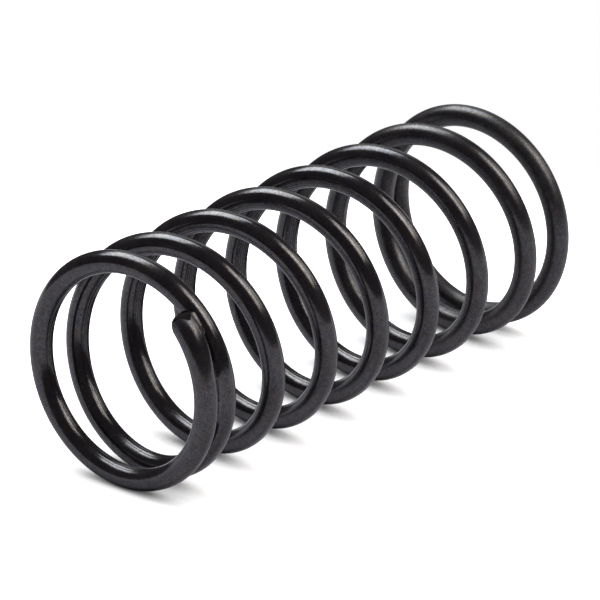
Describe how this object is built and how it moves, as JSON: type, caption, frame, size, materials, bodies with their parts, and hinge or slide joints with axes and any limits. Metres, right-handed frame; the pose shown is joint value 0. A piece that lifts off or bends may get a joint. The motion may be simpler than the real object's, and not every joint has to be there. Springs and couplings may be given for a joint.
{
  "type": "helical compression spring",
  "caption": "Helical compression spring of round black wire, wound right-hand, with closed unground ends and plainly sheared tips.",
  "frame": {"origin": "on the coil's axis, at the lowest point of the lower closed end, on which the spring stands", "axes": "+Z along the coil's axis, from the lower closed end to the upper one; X and Y are across the coil, and the picture's table is the plane that touches the coils on the +Y side"},
  "size_m": [0.0218, 0.0216, 0.0546],
  "materials": {
    "wire": "black oxide on drawn steel spring wire, semi-gloss"
  },
  "bodies": {
    "root": {"spring": "wire"}
  },
  "joints": []
}
